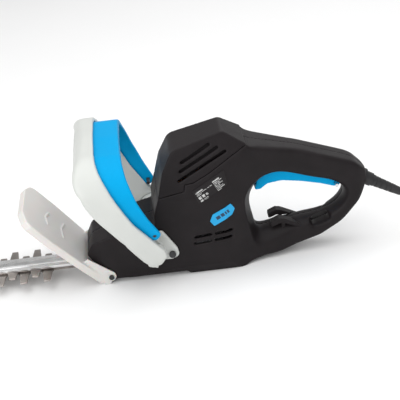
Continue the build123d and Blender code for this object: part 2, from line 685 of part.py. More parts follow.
def fan():
    disc = rod_z(0, 0, 45.2, 47.0, 26.0) + rod_z(0, 0, 44.0, 54.0, 8.0)
    vane = box(7.0, 26.0, -0.8, 0.8, 46.9, 53.6)
    for i in range(12):
        disc = disc + Rot(0, 0, 30 * i) * vane
    return disc - rod_z(0, 0, 0, 200, MOTOR_SHAFT_R)


def pinion():
    """Pinion cut on the end of the motor shaft; one tooth points at the gear."""
    phase = math.pi
    body = prism_xy(gear_outline(PINION_TEETH, 0.6, 1.0, 0.40, phase), GEAR_Z - 1.0, 34.0)
    return body


def motor_bracket():
    """Bridge over the motor's upper end: bearing seat, two legs on the iron, two brush holder arms."""
    plate = rod_z(0, 0, TOP_BEARING_Z, TOP_BEARING_Z + BEARING_T + 1.5, 16.0)
    for sign in (-1, 1):
        plate += box(min(sign * 12, sign * 25), max(sign * 12, sign * 25), -6, 6, TOP_BEARING_Z,
                     TOP_BEARING_Z + 6)
        plate += box(min(sign * 20.5, sign * 25), max(sign * 20.5, sign * 25), -6, 6, STACK_Z1,
                     TOP_BEARING_Z)
        plate += box(-5, 5, min(sign * 13, sign * 24), max(sign * 13, sign * 24), 119.0, TOP_BEARING_Z + 4)
    return plate - rod_z(0, 0, 0, TOP_BEARING_Z + BEARING_T, BEARING_R)


def brush_holders():
    holder = box(-5, 5, 13.0, 27.0, 109.0, 119.0) - box(-3.3, 3.3, 12.0, 26.0, 110.7, 117.3)
    return [holder, mirror(holder, about=Plane.XZ)]


def brushes():
    brush = box(-3.2, 3.2, 11.6, 20.5, 110.8, 117.2) - rod_z(0, 0, 0, 200, 11.55)
    return [brush, mirror(brush, about=Plane.XZ)]


def coil_spring(radius, wire, length, turns):
    """Helical spring standing on z = 0."""
    path = Helix(pitch=length / turns, height=length, radius=radius)
    section = Plane(origin=path @ 0, z_dir=path % 0) * Circle(wire / 2)
    return sweep(section, path=path, is_frenet=True)


def brush_springs():
    spring = Pos(0, 21.0, 114.0) * Rot(-90, 0, 0) * coil_spring(2.2, 0.6, 4.6, 4)
    return [spring, mirror(spring, about=Plane.XZ)]


# ---------------------------------------------------------------- trigger and rear switch
SPRING_X = 92.0
SWITCH_X = 120.0


def trigger():
    outline = [(72.5, 84.0), (80.0, 84.5), (88.0, 90.5), (105.0, 92.5), (128.0, 88.5), (151.0, 82.5),
               (166.0, 77.2), (173.0, 77.5), (174.0, 84.5), (152.0, 94.0), (126.0, 103.5), (114.0, 103.5),
               (104.0, 107.5), (88.0, 107.5), (77.5, 99.0)]
    lever = prism_xz(rounded(outline, [2, 4, 10, 20, 0, 0, 3, 3, 3, 0, 1, 1, 2, 4, 6]), -6.4, 6.4)
    lever = lever - rod_y(*TRIGGER_PIVOT, -10, 10, 2.05)
    return lever - rod_z(SPRING_X, 0, 105.5, 115, 4.2)


def trigger_pin():
    return rod_y(*TRIGGER_PIVOT, -13.2, 13.2, 2.0)


def trigger_spring():
    return Pos(SPRING_X, 0, 106.1) * coil_spring(3.0, 0.9, 15.0, 6)


def spring_seat():
    """Rib in the upper grip that the trigger spring pushes against."""
    return box(SPRING_X - 5, SPRING_X + 5, -12.0, 12.0, 121.8, 124.0)


def rear_switch():
    body = box(106, 132, -9, 9, 112.5, 124.5)
    terminals = box(108, 111, -1, 1, 124.5, 127.5) + box(116, 119, -1, 1, 124.5, 127.5)
    return body + terminals - rod_z(SWITCH_X, 0, 100, 122, 2.25)


def rear_switch_plunger():
    return rod_z(SWITCH_X, 0, 104.1, 117.5, 2.2)


# ---------------------------------------------------------------- cord and its fittings
def exit_frame():
    return Pos(*SLEEVE_START) * Rot(0, SLEEVE_DROP, 0)


def cord_gland():
    collar = rod_x(0, 0, -10, 8.0, 8.0) + rod_x(0, 0, -5.95, -2.05, 10.0)
    return exit_frame() * (collar - rod_x(0, 0, -20, 20, CORD_D / 2))


def strain_relief():
    """Tapered sleeve with grooves, round the cord."""
    sleeve = Pos(8.0 + SLEEVE_LEN / 2, 0, 0) * Rot(0, 90, 0) * Cone(6.3, 4.9, SLEEVE_LEN)
    for i in range(4):
        x = 15.0 + 7.0 * i
        sleeve = sleeve - (rod_x(0, 0, x, x + 1.6, 9) - rod_x(0, 0, x, x + 1.6, 4.8))
    return exit_frame() * (sleeve - rod_x(0, 0, 0, 80, CORD_D / 2))


def cord_points():
    """Route of the free cord, from inside the sleeve to the plug."""
    drop = math.radians(SLEEVE_DROP)

    def along(distance):
        return (SLEEVE_START[0] + distance * math.cos(drop), 0.0, SLEEVE_START[2] - distance * math.sin(drop))

    return [along(CORD_START), along(66.0), (287.0, 2.0, 31.0), (314.0, 6.5, 16.5), (343.0, 14.0, 7.0),
            (374.0, 20.0, 4.1), (407.0, 19.5, 4.1), (438.0, 9.0, 4.1), (465.0, -7.0, 4.1),
            (490.0, -26.0, 4.1)]


def fillet_radii(points):
    """Radius of each corner's arc: 0.45 of the shorter run over the tangent of half the turn."""
    vectors = [Vector(*b) - Vector(*a) for a, b in zip(points, points[1:])]
    radii = []
    for u, v in zip(vectors, vectors[1:]):
        half = math.radians(u.get_angle(v)) / 2
        radii.append(0.45 * min(u.length, v.length) / math.tan(half))
    return radii


def power_cord():
    points = cord_points()
    radii = fillet_radii(points)
    print("cord radii", [round(r) for r in radii])
    path = FilletPolyline(*points, radius=radii)
    section = Plane(origin=path @ 0, z_dir=path % 0) * Circle(CORD_D / 2)
    tube = sweep(section, path=path)
    expected = math.pi * (CORD_D / 2) ** 2 * path.length
    print("cord length", round(path.length), "volume ratio", round(tube.volume / expected, 4))
    return tube


def plug_frame():
    a, b = cord_points()[-2:]
    heading = math.degrees(math.atan2(b[1] - a[1], b[0] - a[0]))
    return Pos(*b) * Rot(0, 0, heading)


PIN_R = 2.4
PIN_LEN = 19.0
PIN_SPACING = 19.0
PIN_ROOT_R = 2.0
PIN_ROOT_LEN = 12.0
PLUG_LEN = 40.0
PLUG_HALF_Z = 4.1


def plug_body():
    neck = [(0.0, 5.0), (12.0, 6.4), (20.0, 16.0), (PLUG_LEN, 17.5)]
    outline = polygon(neck + [(x, -y) for x, y in reversed(neck)])
    body = prism_xy(outline, -PLUG_HALF_Z, 9.0)
    for sign in (-1, 1):
        body = body - rod_x(sign * PIN_SPACING / 2, 0, PLUG_LEN - PIN_ROOT_LEN, PLUG_LEN + 1, PIN_ROOT_R)
    return plug_frame() * body


def plug_pins():
    """Two round pins, each on a thinner root that is moulded into the plug."""
    pins = []
    for sign in (-1, 1):
        y = sign * PIN_SPACING / 2
        root = rod_x(y, 0, PLUG_LEN - PIN_ROOT_LEN, PLUG_LEN, PIN_ROOT_R)
        pins.append(plug_frame() * (root + rod_x(y, 0, PLUG_LEN, PLUG_LEN + PIN_LEN, PIN_R)))
    return pins


def cord_clamp():
    """Saddle that holds the cord inside the grip, just before the gland."""
    saddle = box(-18, -11, -8.5, 8.5, -8.5, -4.1)
    return exit_frame() * saddle


def inner_cord():
    """Straight end of the cord inside the grip, the gland and the sleeve."""
    return exit_frame() * rod_x(0, 0, -17.0, CORD_START, CORD_D / 2)


# ---------------------------------------------------------------- badges, wiring, small parts
def side_plates(points):
    """A thin plate of the given outline on each side of the body, following its surface."""
    skin = plan_prism(-0.75) & front_prism(-0.75)
    skin = skin - (plan_prism(-0.03) & front_prism(-0.03))
    plates = prism_xz(rounded(points, 1.5), -60, 60) & skin
    return [s for s in plates.solids() if abs(s.center().Y) > 20]


BADGE = [(16.0, 68.0), (20.5, 61.5), (42.0, 72.5), (45.5, 79.0), (41.0, 86.5), (19.5, 76.0)]
LABEL = [(-1.0, 107.0), (36.5, 128.0), (39.5, 111.0), (5.0, 92.0)]


def capacitor():
    return box(33, 45, -8, 8, 70, 92)


def wiring():
    """Loom from the switch to the brushes and round the motor."""
    points = [(104.0, 0.0, 130.5), (80.0, 0.0, 135.0), (56.0, 0.0, 133.0), (42.0, 0.0, 118.0), (39.0, 0.0, 93.0)]
    path = FilletPolyline(*points, radius=[9.0, 9.0, 9.0])
    section = Plane(origin=path @ 0, z_dir=path % 0) * Circle(2.0)
    return sweep(section, path=path)


def felt_seal():
    """Felt strip where the bar leaves the nose."""
    strip = box(-118.5, -112.2, -20.0, 20.0, BAR_Z + BAR_T, BAR_Z + BAR_T + 2.4)
    return strip - box(-130, -110, -7.1, 7.1, 0, BAR_Z + BAR_T + 1.7)


def lug_screws():
    return [rod_y(*LUG_HOLE, sign * 38.5 - 6.5, sign * 38.5 + 6.5, 1.95)
            + (rod_y(*LUG_HOLE, 43.7, 46.2, 4.0) if sign > 0 else rod_y(*LUG_HOLE, -46.2, -43.7, 4.0))
            for sign in (-1, 1)]


def guard_screws():
    screw = rod_y(*GUARD_HOLE, -37.2, -30.0, 1.65) + rod_y(*GUARD_HOLE, -39.0, -37.2, 3.0)
    return [screw, mirror(screw, about=Plane.XZ)]


# ---------------------------------------------------------------- build
def main():
    shell = housing() + spring_seat()
    save("left_housing", shell & box(-300, 300, -100, 0, -10, 300))
    save("right_housing", shell & box(-300, 300, 0, 100, -10, 300))
    save("motor_cowl", cowl())
    save("housing_screws", *housing_screws())
    save("cable_hooks", *cable_hooks())
    save("front_handle_shell", front_handle_shell())
    save("front_handle_liner", front_handle_liner())
    save("front_handle_screws", *[place(2.4, -4.0) for place in shell_screw_places()])
    save("front_handle_lug_screws", *lug_screws())
    save("front_switch_bow", bow())
    save("bow_pivot_pins", *bow_pins())
    save("front_switch", front_switch())
    save("front_switch_plunger", front_switch_plunger())
    save("hand_guard", guard())
    save("guard_screws", *guard_screws())
    save("upper_blade", blade(UPPER_Z, 1, GEAR_X - ECC_OFFSET, FIRST_TOOTH_X - PITCH / 2))
    save("lower_blade", blade(LOWER_Z, -1, GEAR_X + ECC_OFFSET, FIRST_TOOTH_X))
    save("guide_bar", guide_bar())
    bolts, nuts = blade_bolts()
    save("blade_bolts", *bolts)
    save("blade_nuts", *nuts)
    save("guide_bar_screws", *bar_screws())
    save("drive_gear", drive_gear())
    save("double_eccentric", double_eccentric())
    save("gear_shaft", rod_z(GEAR_X, 0, BASE_Z + 1.0, FRAME_Z + FRAME_T + 0.5, SHAFT_R))
    save("gear_bushes", *gear_bushes())
    save("base_plate", base_plate())
    save("base_plate_screws", *base_screws())
    save("gearbox_frame", gearbox_frame())
    save("motor_shaft", rod_z(0, 0, 34.0, TOP_BEARING_Z + BEARING_T, MOTOR_SHAFT_R))
    save("pinion", pinion())
    seats = (FRAME_Z - 0.5, TOP_BEARING_Z)
    save("bearing_outer_rings", *[bearing(z)[0] for z in seats])
    save("bearing_inner_rings", *[bearing(z)[1] for z in seats])
    save("bearing_balls", *[ball for z in seats for ball in bearing_balls(z)])
    save("stator_core", stator_core())
    save("field_windings", *field_windings())
    save("armature_core", armature_core())
    save("armature_windings", armature_windings())
    save("commutator", commutator())
    save("cooling_fan", fan())
    save("motor_bracket", motor_bracket())
    save("brush_holders", *brush_holders())
    save("carbon_brushes", *brushes())
    save("brush_springs", *brush_springs())
    save("trigger", trigger())
    save("trigger_pin", trigger_pin())
    save("trigger_spring", trigger_spring())
    save("rear_switch", rear_switch())
    save("rear_switch_plunger", rear_switch_plunger())
    save("cord_gland", cord_gland())
    save("cord_clamp", cord_clamp())
    save("inner_cord", inner_cord())
    save("strain_relief", strain_relief())
    save("power_cord", power_cord())
    save("plug_body", plug_body())
    save("plug_pins", *plug_pins())
    save("side_badges", *side_plates(BADGE))
    save("rating_labels", *side_plates(LABEL))
    save("interference_capacitor", capacitor())
    save("internal_wiring", wiring())
    save("felt_seal", felt_seal())


main()
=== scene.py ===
import json
import math

import bpy
from mathutils import Matrix, Vector


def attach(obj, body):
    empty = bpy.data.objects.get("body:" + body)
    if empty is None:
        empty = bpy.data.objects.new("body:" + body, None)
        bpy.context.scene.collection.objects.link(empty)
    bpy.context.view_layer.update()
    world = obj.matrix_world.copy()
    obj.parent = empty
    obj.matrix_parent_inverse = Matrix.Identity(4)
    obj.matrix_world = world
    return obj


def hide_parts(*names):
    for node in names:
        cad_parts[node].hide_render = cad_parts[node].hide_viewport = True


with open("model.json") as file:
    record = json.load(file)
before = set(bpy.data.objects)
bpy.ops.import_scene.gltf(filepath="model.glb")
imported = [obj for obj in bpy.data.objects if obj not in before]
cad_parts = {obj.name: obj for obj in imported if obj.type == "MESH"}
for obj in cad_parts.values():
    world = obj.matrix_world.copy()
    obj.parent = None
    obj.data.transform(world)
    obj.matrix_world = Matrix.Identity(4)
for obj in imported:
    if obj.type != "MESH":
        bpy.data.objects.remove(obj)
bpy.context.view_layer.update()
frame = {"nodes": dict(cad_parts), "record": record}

MM = 0.001


# ---------------------------------------------------------------- camera, floor and light
VIEW_YAW = math.radians(3.0)
VIEW_HEIGHT = math.radians(27.0)
VIEW_ROLL = math.radians(5.4)
VIEW_WIDTH = 0.480              # metres across the picture at the motor axis
VIEW_OFFSET = (0.0024, 0.0689)  # from the frame's origin to the picture's centre
LENS = 95.0
SENSOR = 36.0
FAR_CLIP = 20.0
WORLD_STRENGTH = 0.50
FLOOR_SIZE = 12.0
# name, place, target, size and power of each soft light
LIGHTS = [("top_light", (0.0, -0.1, 1.6), (0.0, 0.0, 0.0), (2.4, 2.0), 25.0),
          ("key_light", (-0.9, -1.5, 0.8), (-0.05, 0.0, 0.08), (1.1, 0.9), 13.0),
          ("rim_light", (0.7, 1.3, 0.9), (0.05, 0.0, 0.1), (1.2, 0.4), 2.5)]


def add_camera():
    sin_a, cos_a = math.sin(VIEW_YAW), math.cos(VIEW_YAW)
    sin_e, cos_e = math.sin(VIEW_HEIGHT), math.cos(VIEW_HEIGHT)
    level = Vector((cos_a, -sin_a, 0))
    rise = Vector((sin_a * sin_e, cos_a * sin_e, cos_e))
    back = Vector((-sin_a * cos_e, -cos_a * cos_e, sin_e))
    right = level * math.cos(VIEW_ROLL) - rise * math.sin(VIEW_ROLL)
    up = level * math.sin(VIEW_ROLL) + rise * math.cos(VIEW_ROLL)
    centre = right * VIEW_OFFSET[0] + up * VIEW_OFFSET[1]
    data = bpy.data.cameras.new("camera")
    data.lens = LENS
    data.sensor_width = SENSOR
    data.clip_end = FAR_CLIP
    camera = bpy.data.objects.new("camera", data)
    bpy.context.scene.collection.objects.link(camera)
    turn = Matrix((right, up, back)).transposed().to_4x4()
    camera.matrix_world = Matrix.Translation(centre + back * VIEW_WIDTH * LENS / SENSOR) @ turn
    bpy.context.scene.camera = camera


def add_light(name, place, target, size, power):
    data = bpy.data.lights.new(name, "AREA")
    data.shape = "RECTANGLE"
    data.size, data.size_y = size
    data.energy = power
    light = bpy.data.objects.new(name, data)
    bpy.context.scene.collection.objects.link(light)
    aim = Vector(target) - Vector(place)
    light.matrix_world = Matrix.Translation(place) @ aim.to_track_quat("-Z", "Y").to_matrix().to_4x4()


def add_studio():
    scene = bpy.context.scene
    scene.view_settings.view_transform = "Standard"
    world = bpy.data.worlds.new("studio")
    world.use_nodes = True
    world.node_tree.nodes["Background"].inputs["Color"].default_value = (1, 1, 1, 1)
    world.node_tree.nodes["Background"].inputs["Strength"].default_value = WORLD_STRENGTH
    scene.world = world
    for light in LIGHTS:
        add_light(*light)
    bpy.ops.mesh.primitive_plane_add(size=FLOOR_SIZE, location=(0, 0, 0))
    floor = bpy.context.object
    floor.name = "floor"
    return floor


# ---------------------------------------------------------------- shader maths
class Wire:
    """A shader socket that sums and products can be written with."""

    def __init__(self, finish, socket):
        self.finish, self.socket = finish, socket

    def maths(self, operation, *values):
        return self.finish.node("ShaderNodeMath", {"operation": operation}, dict(enumerate(values)))

    def __add__(self, other):
        return self.maths("ADD", self, other)

    def __sub__(self, other):
        return self.maths("SUBTRACT", self, other)

    def __mul__(self, other):
        return self.maths("MULTIPLY", self, other)

    def __rsub__(self, other):
        return self.maths("SUBTRACT", other, self)

    def __abs__(self):
        return self.maths("ABSOLUTE", self)

    def __gt__(self, other):
        return self.maths("GREATER_THAN", self, other)

    def __lt__(self, other):
        return self.maths("LESS_THAN", self, other)

    __radd__ = __add__
    __rmul__ = __mul__


def socket_name(key):
    return key.replace("_", " ").title().replace("Ior", "IOR")


class Finish:
    """A material: constants on its Principled shader, and nodes for what varies."""

    def __init__(self, name, **constants):
        self.material = bpy.data.materials.new(name)
        self.material.use_nodes = True
        self.tree = self.material.node_tree
        self.shader = self.tree.nodes["Principled BSDF"]
        for key, value in constants.items():
            self.put(self.shader.inputs[socket_name(key)], value)

    def put(self, socket, value):
        if isinstance(value, Wire):
            self.tree.links.new(value.socket, socket)
        elif hasattr(value, "__len__") and len(value) == 3 and socket.type == "RGBA":
            socket.default_value = (*value, 1)
        else:
            socket.default_value = value

    def node(self, kind, settings, inputs, out=0):
        made = self.tree.nodes.new(kind)
        for key, value in settings.items():
            setattr(made, key, value)
        for key, value in inputs.items():
            self.put(made.inputs[key], value)
        return Wire(self, made.outputs[out])

    def place(self):
        return self.node("ShaderNodeTexCoord", {}, {}, out="Object")

    def axes(self):
        """Object X, Y and Z."""
        split = self.node("ShaderNodeSeparateXYZ", {}, {"Vector": self.place()})
        outputs = split.socket.node.outputs
        return [Wire(self, outputs[i]) for i in range(3)]

    def noise(self, scale, detail=3.0, stretch=(1, 1, 1)):
        spot = self.node("ShaderNodeMapping", {}, {"Vector": self.place(), "Scale": stretch})
        return self.node("ShaderNodeTexNoise", {}, {"Vector": spot, "Scale": scale, "Detail": detail})

    def bands(self, scale, distortion=0.0):
        """Bands stacked along Z."""
        inputs = {"Vector": self.place(), "Scale": scale, "Distortion": distortion}
        return self.node("ShaderNodeTexWave", {"bands_direction": "Z"}, inputs, out="Fac")

    def ramp(self, value, low, high, to_low=0.0, to_high=1.0):
        inputs = {"Value": value, "From Min": low, "From Max": high, "To Min": to_low, "To Max": to_high}
        return self.node("ShaderNodeMapRange", {}, inputs)

    def mix(self, factor, one, other):
        return self.node("ShaderNodeMix", {"data_type": "RGBA"}, {0: factor, 6: one, 7: other}, out=2)

    def set(self, **wires):
        for key, value in wires.items():
            self.put(self.shader.inputs[socket_name(key)], value)
        return self

    def bump(self, height, distance, strength=1.0):
        inputs = {"Height": height, "Distance": distance, "Strength": strength}
        self.put(self.shader.inputs["Normal"], self.node("ShaderNodeBump", {}, inputs))
        return self

    def edges(self, low=0.52, high=0.60):
        """1 on outer edges and 0 on flat faces."""
        point = self.node("ShaderNodeNewGeometry", {}, {}, out="Pointiness")
        return self.ramp(point, low, high)


# ---------------------------------------------------------------- finishes
BLACK = (0.0120, 0.0098, 0.0106)
GREY = (0.61, 0.625, 0.60)
GREY_FLOW = (0.58, 0.595, 0.57)
BLUE = (0.0, 0.33, 0.66)
BLUE_FLOW = (0.0, 0.345, 0.69)
GUARD = (0.70, 0.68, 0.655)
GUARD_CLOUD = (0.66, 0.64, 0.615)


def scaled(colour, factor):
    return tuple(min(1.0, factor * c) for c in colour)


def black_plastic():
    """Moulded housing plastic: fine spark-eroded grain, edges polished by handling to a lower roughness, and
    a painted highlight that lightens the colour along the edges.
    """
    f = Finish("black_plastic", specular_ior_level=0.15)
    grain = f.noise(1500.0, 2.0)
    cloud = f.noise(38.0, 3.0)
    highlit_edge = f.edges()
    lift = f.mix(f.ramp(cloud, 0.35, 0.7), BLACK, scaled(BLACK, 1.35))
    # painted highlight: the base colour is lightened up to 2.6 times along the outer edges
    f.set(base_color=f.mix(highlit_edge * 0.6, lift, scaled(BLACK, 2.6)))
    f.set(roughness=0.46 + f.ramp(cloud, 0.3, 0.7, -0.04, 0.05) - highlit_edge * 0.10)
    return f.bump(grain, 0.00010, 0.55).material


def satin_plastic(name, colour, roughness, tint, specular):
    """Smooth moulded plastic with faint flow marks and scuffs."""
    f = Finish(name, specular_ior_level=specular)
    cloud = f.noise(24.0, 3.0)
    scuff = f.ramp(f.noise(130.0, 4.0, (1.0, 3.0, 1.0)), 0.62, 0.80)
    shade = f.mix(f.ramp(cloud, 0.3, 0.75), colour, tint)
    f.set(base_color=shade, roughness=roughness + scuff * 0.12 + f.ramp(cloud, 0.3, 0.7, -0.03, 0.03))
    return f.bump(f.noise(420.0, 2.0), 0.00006, 0.35).material


def guard_plastic():
    """Milky plastic that lets some light through."""
    f = Finish("guard_plastic", specular_ior_level=0.4, subsurface_weight=0.25, subsurface_scale=0.004)
    cloud = f.noise(18.0, 2.0)
    f.set(base_color=f.mix(f.ramp(cloud, 0.3, 0.7), GUARD, GUARD_CLOUD))
    f.set(roughness=0.40 + f.ramp(cloud, 0.3, 0.7, -0.04, 0.06))
    return f.bump(f.noise(600.0, 2.0), 0.00005, 0.4).material


def ground_steel(name, colour, roughness, direction, scratch=0.6):
    """Metal with grinding marks along one axis, and a painted highlight along its edges."""
    f = Finish(name, metallic=1.0)
    marks = f.noise(900.0, 3.0, direction)
    stain = f.noise(45.0, 4.0)
    highlit_edge = f.edges(0.51, 0.58)
    body = f.mix(f.ramp(stain, 0.38, 0.68), scaled(colour, 0.62), colour)
    # painted highlight: the colour is lightened along the outer edges
    f.set(base_color=f.mix(highlit_edge * 0.6, body, scaled(colour, 1.6)))
    f.set(roughness=roughness + f.ramp(marks, 0.35, 0.65, -0.08, 0.10))
    return f.bump(marks, 0.00004, scratch).material


def rubber():
    f = Finish("rubber", specular_ior_level=0.4)
    cloud = f.noise(60.0, 3.0)
    f.set(base_color=f.mix(f.ramp(cloud, 0.3, 0.7), (0.014, 0.014, 0.015), (0.024, 0.023, 0.024)))
    f.set(roughness=0.50 + f.ramp(cloud, 0.3, 0.7, -0.06, 0.08))
    return f.bump(f.noise(1100.0, 2.0), 0.00008, 0.5).material


def cast_metal():
    f = Finish("cast_metal", metallic=1.0)
    pits = f.noise(420.0, 4.0)
    f.set(base_color=f.mix(f.ramp(pits, 0.35, 0.7), (0.40, 0.41, 0.42), (0.60, 0.61, 0.62)))
    f.set(roughness=f.ramp(pits, 0.3, 0.7, 0.42, 0.60))
    return f.bump(pits, 0.00020, 0.5).material


def copper_wire():
    """Enamelled wire, wound round Z."""
    f = Finish("copper_wire", metallic=0.85, coat_roughness=0.2)
    turns = f.bands(520.0, 1.5)
    f.set(base_color=f.mix(turns, (0.30, 0.10, 0.035), (0.62, 0.27, 0.11)), roughness=0.32 + turns * 0.1)
    return f.bump(turns, 0.0003, 0.8).material


def laminated_iron():
    f = Finish("laminated_iron", metallic=1.0)
    sheets = f.bands(640.0)
    f.set(base_color=f.mix(sheets, (0.16, 0.155, 0.15), (0.34, 0.335, 0.33)), roughness=0.45 + sheets * 0.1)
    return f.bump(sheets, 0.0002, 0.7).material


def plain_part(name, colour, roughness, metallic=0.0):
    """Small inner pieces: one colour with a little grain and dust."""
    f = Finish(name, metallic=metallic)
    dust = f.noise(240.0, 4.0)
    f.set(base_color=f.mix(f.ramp(dust, 0.4, 0.75), colour, tuple(min(1.0, 0.7 * c + 0.01) for c in colour)))
    f.set(roughness=roughness + f.ramp(dust, 0.3, 0.7, -0.05, 0.08))
    return f.bump(dust, 0.00006, 0.5).material


def felt():
    f = Finish("felt", sheen_weight=0.4)
    fibre = f.noise(1900.0, 4.0)
    f.set(base_color=f.mix(fibre, (0.02, 0.02, 0.02), (0.10, 0.095, 0.09)), roughness=0.95)
    return f.bump(fibre, 0.0006, 0.9).material


BADGE_SLOPE = math.radians(28.0)
BADGE_CENTRE = (0.031, 0.0745)


def badge_film():
    """Blue film with one dark bar, broken by gaps."""
    f = Finish("badge_film", specular_ior_level=0.5)
    x, _, z = f.axes()
    dx = x - BADGE_CENTRE[0]
    dz = z - BADGE_CENTRE[1]
    along = dx * math.cos(BADGE_SLOPE) + dz * math.sin(BADGE_SLOPE)
    across = dz * math.cos(BADGE_SLOPE) - dx * math.sin(BADGE_SLOPE)
    bar = (abs(along) < 0.0085) * (abs(across) < 0.0021)
    gaps = (abs(along - 0.0028) > 0.0006) * (abs(along + 0.0028) > 0.0006) * (abs(along - 0.0056) > 0.0005)
    bar = bar * gaps
    film = f.mix(f.ramp(f.noise(60.0), 0.3, 0.7), (0.0, 0.36, 0.70), (0.0, 0.33, 0.66))
    f.set(base_color=f.mix(bar, film, (0.006, 0.035, 0.09)), roughness=0.34 + f.noise(300.0) * 0.06)
    return f.material


LABEL_SLOPE = math.radians(29.3)
LABEL_CORNER = (0.0005, 0.1045)
# start, length and row of each printed bar, in millimetres along and across the label
LABEL_BARS = [(1.5, 9.5, 0.6, 1.5), (1.5, 13.5, 3.0, 0.6), (1.5, 6.0, 4.4, 0.6), (1.5, 3.4, 6.6, 3.2),
              (6.2, 3.4, 6.6, 3.2), (11.2, 2.6, 7.2, 2.4), (1.5, 3.4, 11.0, 2.8), (6.2, 5.8, 11.4, 0.7),
              (6.2, 5.0, 12.9, 0.7), (24.5, 9.0, 0.6, 1.5), (24.5, 11.0, 3.0, 0.7), (24.5, 8.0, 4.6, 0.7),
              (24.5, 10.4, 6.2, 0.7), (24.5, 6.0, 7.8, 0.7), (24.5, 9.4, 9.4, 0.7), (24.5, 10.0, 11.0, 0.7),
              (24.5, 5.0, 12.6, 0.7), (16.0, 6.4, 3.0, 0.6)]


def label_film():
    """Grey bars printed on the black housing."""
    f = Finish("label_film", specular_ior_level=0.24)
    x, _, z = f.axes()
    dx = x - LABEL_CORNER[0]
    dz = z - LABEL_CORNER[1]
    along = dx * math.cos(LABEL_SLOPE) + dz * math.sin(LABEL_SLOPE)
    down = dx * math.sin(LABEL_SLOPE) - dz * math.cos(LABEL_SLOPE)
    ink = None
    for start, length, row, height in LABEL_BARS:
        inside = (along > start * MM) * (along < (start + length) * MM)
        bar = inside * (down > row * MM) * (down < (row + height) * MM)
        ink = bar if ink is None else ink + bar
    ink = ink * f.ramp(f.noise(900.0, 2.0), 0.34, 0.5)
    f.set(base_color=f.mix(ink, BLACK, (0.55, 0.55, 0.54)), roughness=0.44 + ink * 0.08)
    return f.bump(f.noise(1500.0, 2.0), 0.00008, 0.5).material


def floor_finish():
    f = Finish("floor_finish")
    f.set(base_color=f.mix(f.noise(6.0), (0.90, 0.90, 0.90), (0.92, 0.92, 0.92)), roughness=0.85)
    return f.material


# ---------------------------------------------------------------- modelling helpers
BODY_OF = {node: body for body, nodes in frame["record"]["behaviour"]["bodies"].items() for node in nodes}
SLOT_OF = {part["node"]: part["material_slot"] for part in frame["record"]["subparts"]}


WELD = 2e-6                     # metres within which loose corners are one


def only(obj):
    bpy.ops.object.select_all(action="DESELECT")
    obj.select_set(True)
    bpy.context.view_layer.objects.active = obj


def apply(obj, kind, **settings):
    only(obj)
    modifier = obj.modifiers.new(kind.lower(), kind)
    for key, value in settings.items():
        setattr(modifier, key, value)
    bpy.ops.object.modifier_apply(modifier=modifier.name)


def copy_of(node, name):
    """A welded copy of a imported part, to be finished as a piece of its own."""
    piece = bpy.data.objects.new(name, frame["nodes"][node].data.copy())
    bpy.context.scene.collection.objects.link(piece)
    only(piece)
    bpy.ops.object.mode_set(mode="EDIT")
    bpy.ops.mesh.select_all(action="SELECT")
    bpy.ops.mesh.remove_doubles(threshold=WELD)
    bpy.ops.object.mode_set(mode="OBJECT")
    return piece


def fitted(piece, node, material):
    """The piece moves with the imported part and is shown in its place."""
    piece.data.materials.clear()
    piece.data.materials.append(material)
    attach(piece, BODY_OF[node])
    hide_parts(node)
    return piece


def moulded(node, voxel, *rounds):
    """A packed shell with its edges rounded as in a mould. Each round is a number of passes, or a number
    of passes with the weight they have at a point."""
    piece = copy_of(node, node + "_moulding")
    apply(piece, "REMESH", mode="VOXEL", voxel_size=voxel, use_smooth_shade=True)
    for entry in rounds:
        if isinstance(entry, int):
            apply(piece, "SMOOTH", factor=0.5, iterations=entry)
            continue
        passes, weight = entry
        group = piece.vertex_groups.new(name="round")
        for vertex in piece.data.vertices:
            amount = weight(vertex.co)
            if amount > 0.01:
                group.add([vertex.index], min(1.0, amount), "REPLACE")
        apply(piece, "SMOOTH", factor=0.5, iterations=passes, vertex_group="round")
        piece.vertex_groups.clear()
    return piece


def eased(node, width):
    """A machined part with its sharp edges broken."""
    piece = copy_of(node, node + "_machined")
    apply(piece, "DECIMATE", decimate_type="DISSOLVE", angle_limit=math.radians(2.0))
    apply(piece, "BEVEL", width=width, segments=2, limit_method="ANGLE", angle_limit=math.radians(30.0),
          harden_normals=False)
    only(piece)
    bpy.ops.object.shade_smooth_by_angle(angle=math.radians(40.0))
    return piece


def step(value, low, high):
    """0 below low, 1 above high, smooth between."""
    t = min(1.0, max(0.0, (value - low) / (high - low)))
    return t * t * (3 - 2 * t)


# ---------------------------------------------------------------- cord
CORD_RADIUS = 4 * MM
SLEEVE_RIBS = 4
RIB_PITCH = 6.8
EXIT = Vector((204.5, 0, 81)) * MM
DROP = math.radians(30.0)
CORD_ROUTE = [(235.68, 0.0, 63.00), (261.66, 0.0, 48.00), (287.0, 2.0, 31.0), (314.0, 6.5, 16.5),
              (343.0, 14.0, 7.0), (374.0, 20.0, 4.1), (407.0, 19.5, 4.1), (438.0, 9.0, 4.1),
              (465.0, -7.0, 4.1), (490.0, -26.0, 4.1)]


def add_cord(material):
    data = bpy.data.curves.new("mains_cord", "CURVE")
    data.dimensions = "3D"
    line = data.splines.new("NURBS")
    line.points.add(len(CORD_ROUTE) - 1)
    for point, place in zip(line.points, CORD_ROUTE):
        point.co = (*(v * MM for v in place), 1.0)
    line.order_u = 3
    line.use_endpoint_u = True
    line.resolution_u = 12
    data.bevel_depth = CORD_RADIUS
    data.bevel_resolution = 6
    data.use_fill_caps = True
    cord = bpy.data.objects.new("mains_cord", data)
    bpy.context.scene.collection.objects.link(cord)
    data.materials.append(material)
    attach(cord, "housing")
    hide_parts("power_cord")
    return cord


